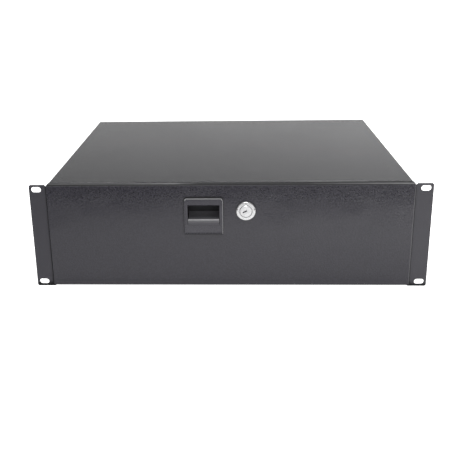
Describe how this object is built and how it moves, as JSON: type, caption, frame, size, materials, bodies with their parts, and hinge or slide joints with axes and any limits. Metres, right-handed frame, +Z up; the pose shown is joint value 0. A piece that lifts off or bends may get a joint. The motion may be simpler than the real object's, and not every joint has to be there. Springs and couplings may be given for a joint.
{
  "type": "sliding rack drawer",
  "caption": "Lockable sliding drawer for a 19 inch rack: folded steel housing with slotted ears, steel drawer on ball-bearing slides, flush slam latch and cam lock.",
  "frame": {"origin": "centre of the four rack slots, in the plane of the ears' front faces", "axes": "+X to the right seen from the front, +Y to the back of the rack, +Z up"},
  "size_m": [0.4826, 0.355, 0.1324],
  "materials": {
    "housing_paint": "fine textured black powder coat, semi-matte",
    "front_paint": "fine textured black powder coat, semi-matte",
    "drawer_paint": "fine textured black powder coat, semi-matte",
    "slide_zinc": "bright zinc-plated rolled steel",
    "cage_steel": "plain thin steel",
    "ball_steel": "polished",
    "zinc_steel": "zinc plated",
    "rivet_steel": "black rivets",
    "screw_black": "black oxide",
    "spring_steel": "spring steel",
    "latch_plastic": "moulded black nylon, satin rim",
    "latch_slide_plastic": "moulded black nylon",
    "lock_chrome": "satin nickel plate",
    "plug_chrome": "satin nickel plate",
    "bumper_rubber": "black rubber"
  },
  "bodies": {
    "housing": {"housing_wrap": "housing_paint", "housing_base": "housing_paint", "housing_rear_panel": "housing_paint", "housing_rivets": "rivet_steel", "housing_slide_screws": "screw_black", "slide_outer_left": "slide_zinc", "slide_outer_right": "slide_zinc", "slide_bumper_left": "bumper_rubber", "slide_bumper_right": "bumper_rubber"},
    "drawer": {"drawer_front": "front_paint", "drawer_inner_front": "drawer_paint", "drawer_tray": "drawer_paint", "drawer_back": "drawer_paint", "drawer_rivets": "rivet_steel", "drawer_slide_screws": "zinc_steel", "front_studs": "zinc_steel", "front_nuts": "zinc_steel", "slide_inner_left": "slide_zinc", "slide_inner_right": "slide_zinc", "latch_housing": "latch_plastic", "latch_clip": "spring_steel", "latch_springs": "spring_steel", "lock_cylinder": "lock_chrome", "lock_nut": "zinc_steel"},
    "latch": {"latch_slide": "latch_slide_plastic"},
    "lock": {"lock_plug": "plug_chrome", "lock_cam": "zinc_steel", "lock_cam_screw": "zinc_steel"},
    "slide_middle_left": {"slide_middle_left": "slide_zinc"},
    "slide_cage_outer_left": {"slide_cage_outer_left": "cage_steel", "slide_balls_outer_left": "ball_steel"},
    "slide_cage_inner_left": {"slide_cage_inner_left": "cage_steel", "slide_balls_inner_left": "ball_steel"},
    "slide_middle_right": {"slide_middle_right": "slide_zinc"},
    "slide_cage_outer_right": {"slide_cage_outer_right": "cage_steel", "slide_balls_outer_right": "ball_steel"},
    "slide_cage_inner_right": {"slide_cage_inner_right": "cage_steel", "slide_balls_inner_right": "ball_steel"}
  },
  "joints": [
    {"name": "drawer_slide", "type": "slide", "parent": "housing", "child": "drawer", "axis": [0, -1, 0], "range_m": [0, 0.3]},
    {"name": "slide_cage_outer_left_run", "type": "slide", "parent": "housing", "child": "slide_cage_outer_left", "axis": [0, -1, 0], "range_m": [0, 0.075]},
    {"name": "slide_middle_left_run", "type": "slide", "parent": "housing", "child": "slide_middle_left", "axis": [0, -1, 0], "range_m": [0, 0.15]},
    {"name": "slide_cage_inner_left_run", "type": "slide", "parent": "housing", "child": "slide_cage_inner_left", "axis": [0, -1, 0], "range_m": [0, 0.225]},
    {"name": "slide_cage_outer_right_run", "type": "slide", "parent": "housing", "child": "slide_cage_outer_right", "axis": [0, -1, 0], "range_m": [0, 0.075]},
    {"name": "slide_middle_right_run", "type": "slide", "parent": "housing", "child": "slide_middle_right", "axis": [0, -1, 0], "range_m": [0, 0.15]},
    {"name": "slide_cage_inner_right_run", "type": "slide", "parent": "housing", "child": "slide_cage_inner_right", "axis": [0, -1, 0], "range_m": [0, 0.225]},
    {"name": "latch_press", "type": "slide", "parent": "drawer", "child": "latch", "axis": [0, 0, -1], "range_m": [0, 0.004], "stiffness_N_per_m": 500, "springref_m": -0.006, "deforming": ["latch_springs"]},
    {"name": "lock_turn", "type": "hinge", "parent": "drawer", "child": "lock", "pos_m": [0.0203, 0, 0.0334], "axis": [0, -1, 0], "range_deg": [0, 90]}
  ],
  "couplings": [
    {"joint": "slide_cage_outer_left_run", "follows": "drawer_slide", "ratio": 0.25},
    {"joint": "slide_middle_left_run", "follows": "drawer_slide", "ratio": 0.5},
    {"joint": "slide_cage_inner_left_run", "follows": "drawer_slide", "ratio": 0.75},
    {"joint": "slide_cage_outer_right_run", "follows": "drawer_slide", "ratio": 0.25},
    {"joint": "slide_middle_right_run", "follows": "drawer_slide", "ratio": 0.5},
    {"joint": "slide_cage_inner_right_run", "follows": "drawer_slide", "ratio": 0.75}
  ]
}
